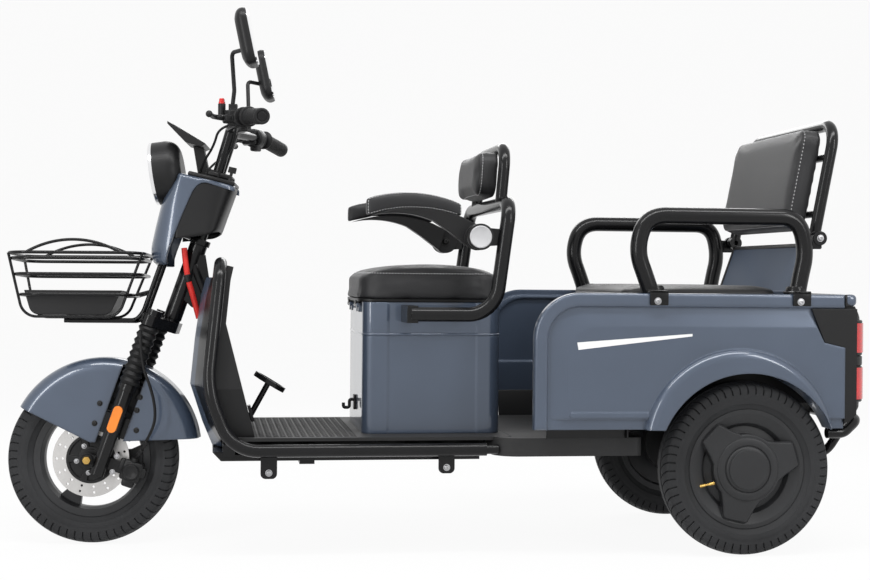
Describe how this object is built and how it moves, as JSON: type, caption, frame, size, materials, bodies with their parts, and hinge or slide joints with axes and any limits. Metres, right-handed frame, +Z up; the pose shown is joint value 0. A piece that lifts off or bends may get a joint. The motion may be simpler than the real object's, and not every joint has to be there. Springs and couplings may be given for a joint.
{
  "type": "electric tricycle",
  "caption": "Electric cargo and passenger tricycle with a front basket, a driver's seat with armrests and a rear bench with hoop rails and a folding backrest.",
  "frame": {"origin": "on the ground, in the middle of the overall box", "axes": "+X forward, +Y to the rider's left, +Z up"},
  "size_m": [2.0468, 0.762, 1.2668],
  "materials": {
    "blue_paint": "gloss slate blue paint",
    "black_tube": "gloss black paint",
    "black_plastic": "satin black moulding",
    "dark_leather": "dark grey artificial leather",
    "tyre_rubber": "black rubber",
    "wheel_black": "satin black wheel paint",
    "steel": "ground steel",
    "rubber": "black rubber",
    "lamp_glass": "clear lens",
    "lamp_red": "red lens",
    "reflector_orange": "orange prism lens",
    "mirror_face": "silvered glass",
    "sleeve_red": "red wiring sleeve",
    "battery_case": "battery casing"
  },
  "bodies": {
    "chassis": {"main_frame": "black_tube", "footwell_hoop": "black_tube", "floor_deck": "black_plastic", "leg_shield_inner": "black_plastic", "leg_shield_front": "blue_paint", "seat_box": "blue_paint", "battery": "battery_case", "driver_back_frame": "black_tube", "driver_backrest": "dark_leather", "brake_pedal": "black_tube", "bag_hook": "black_plastic", "rear_floor": "black_plastic", "rear_side_left": "blue_paint", "rear_side_right": "blue_paint", "rear_tail": "black_plastic", "tail_lamps": "lamp_red", "rear_bench": "black_plastic", "rear_seat": "dark_leather", "rear_hoop_left": "black_tube", "rear_hoop_right": "black_tube", "rear_back_panel": "blue_paint", "rear_bumper": "black_tube", "rear_axle": "black_tube", "wire_harness": "sleeve_red"},
    "steering": {"fork_crown": "black_tube", "fork_gaiters": "rubber", "fork_sliders": "black_tube", "front_axle": "steel", "fork_reflectors": "reflector_orange", "front_fender": "blue_paint", "brake_caliper": "black_tube", "brake_hose": "rubber", "headlight": "black_plastic", "headlight_lens": "lamp_glass", "fairing_shell": "blue_paint", "fairing_cover": "black_plastic", "handlebar": "black_tube", "grips": "rubber", "controls": "black_plastic", "mirrors": "black_plastic", "mirror_glass": "mirror_face", "display": "black_plastic", "basket": "black_tube", "basket_tray": "black_plastic", "basket_bracket": "black_tube"},
    "front_wheel": {"front_tyre": "tyre_rubber", "front_rim": "wheel_black", "brake_disc": "steel"},
    "rear_wheel_left": {"rear_tyre_left": "tyre_rubber", "rear_wheel_left": "wheel_black"},
    "rear_wheel_right": {"rear_tyre_right": "tyre_rubber", "rear_wheel_right": "wheel_black"},
    "driver_seat": {"driver_seat_pan": "black_plastic", "driver_seat_cushion": "dark_leather"},
    "armrest_left": {"armrest_left": "black_plastic", "armrest_left_pad": "dark_leather"},
    "armrest_right": {"armrest_right": "black_plastic", "armrest_right_pad": "dark_leather"},
    "rear_backrest": {"rear_back_frame": "black_tube", "rear_back_cushion": "dark_leather"}
  },
  "joints": [
    {"name": "steering", "type": "hinge", "parent": "chassis", "child": "steering", "pos_m": [0.6, 0, 0.625], "axis": [-0.3256, 0, 0.9455], "range_deg": [-33, 47]},
    {"name": "front_wheel_spin", "type": "hinge", "parent": "steering", "child": "front_wheel", "pos_m": [0.81254, -0.00792, 0.20584], "axis": [0.1152, 0.9925, 0.0397], "continuous": true},
    {"name": "rear_wheel_left_spin", "type": "hinge", "parent": "chassis", "child": "rear_wheel_left", "pos_m": [-0.722, 0.31, 0.206], "axis": [0, 1, 0], "continuous": true},
    {"name": "rear_wheel_right_spin", "type": "hinge", "parent": "chassis", "child": "rear_wheel_right", "pos_m": [-0.722, -0.31, 0.206], "axis": [0, 1, 0], "continuous": true},
    {"name": "seat_lift", "type": "hinge", "parent": "chassis", "child": "driver_seat", "pos_m": [0.1815, 0, 0.5835], "axis": [0, 1, 0], "range_deg": [0, 65]},
    {"name": "armrest_left_flip", "type": "hinge", "parent": "chassis", "child": "armrest_left", "pos_m": [-0.087, 0.274, 0.748], "axis": [0, -1, 0], "range_deg": [0, 62]},
    {"name": "armrest_right_flip", "type": "hinge", "parent": "chassis", "child": "armrest_right", "pos_m": [-0.087, -0.274, 0.748], "axis": [0, -1, 0], "range_deg": [0, 62]},
    {"name": "backrest_fold", "type": "hinge", "parent": "chassis", "child": "rear_backrest", "pos_m": [-0.906, 0, 0.754], "axis": [0, 1, 0], "range_deg": [0, 85]}
  ]
}
